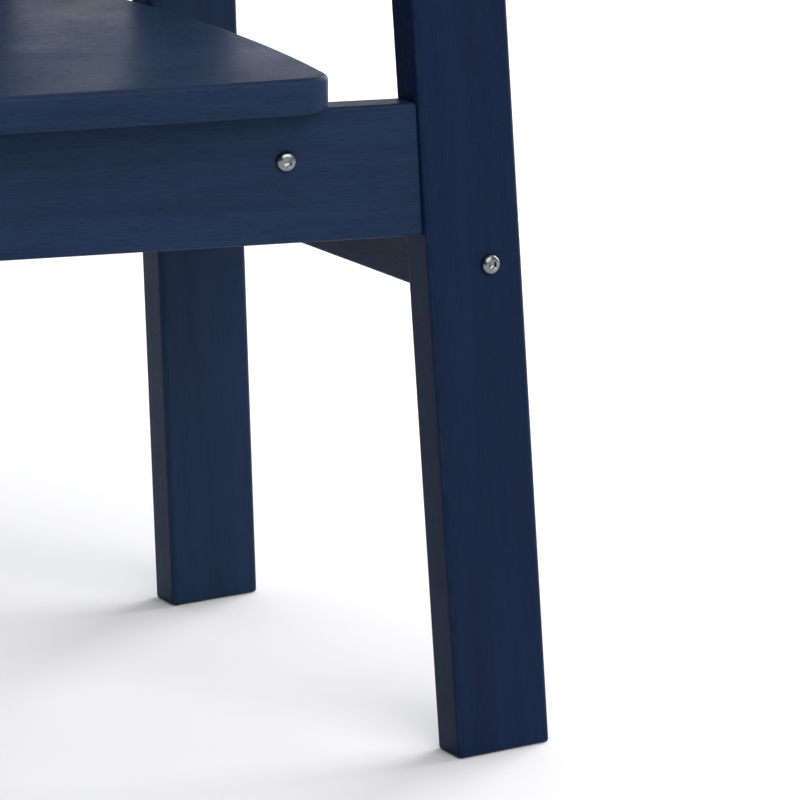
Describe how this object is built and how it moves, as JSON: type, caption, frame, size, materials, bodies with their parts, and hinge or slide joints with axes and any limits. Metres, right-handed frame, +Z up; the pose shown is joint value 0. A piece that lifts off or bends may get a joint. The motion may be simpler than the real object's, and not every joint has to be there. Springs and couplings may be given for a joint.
{
  "type": "adirondack chair",
  "caption": "Painted wooden Adirondack chair with a bowed seat panel, fan back, broad arms and splayed legs.",
  "frame": {"origin": "on the floor, under the centre of the chair's box", "axes": "+Z up, -Y is the way the sitter faces, +X is the right-hand side of the chair as seen from in front"},
  "size_m": [0.7862, 0.648, 0.9496],
  "materials": {
    "navy_paint": "satin navy paint over open-grained hardwood",
    "stainless": "satin stainless steel",
    "bare_wood": "plain unpainted beech"
  },
  "bodies": {
    "root": {"front_leg_left": "navy_paint", "front_leg_right": "navy_paint", "rear_leg_left": "navy_paint", "rear_leg_right": "navy_paint", "side_rail_left": "navy_paint", "side_rail_right": "navy_paint", "front_apron": "navy_paint", "rear_rail": "navy_paint", "seat_bearer_left": "navy_paint", "seat_bearer_centre": "navy_paint", "seat_bearer_right": "navy_paint", "seat_panel": "navy_paint", "lower_back_rail": "navy_paint", "arm_rail": "navy_paint", "top_brace": "navy_paint", "back_slat_1": "navy_paint", "back_slat_2": "navy_paint", "back_slat_3": "navy_paint", "back_slat_4": "navy_paint", "back_slat_5": "navy_paint", "back_slat_6": "navy_paint", "back_slat_7": "navy_paint", "arm_left": "navy_paint", "arm_right": "navy_paint", "arm_bracket_left": "navy_paint", "arm_bracket_right": "navy_paint", "apron_bolts": "stainless", "leg_bolts": "stainless", "barrel_nuts": "stainless", "apron_dowels": "bare_wood", "rear_rail_dowels": "bare_wood", "seat_screws": "stainless", "rear_rail_screws": "stainless", "back_rail_screws": "stainless", "slat_screws_lower": "stainless", "slat_screws_middle": "stainless", "slat_screws_top": "stainless", "arm_screws": "stainless", "bracket_screws": "stainless"}
  },
  "joints": []
}
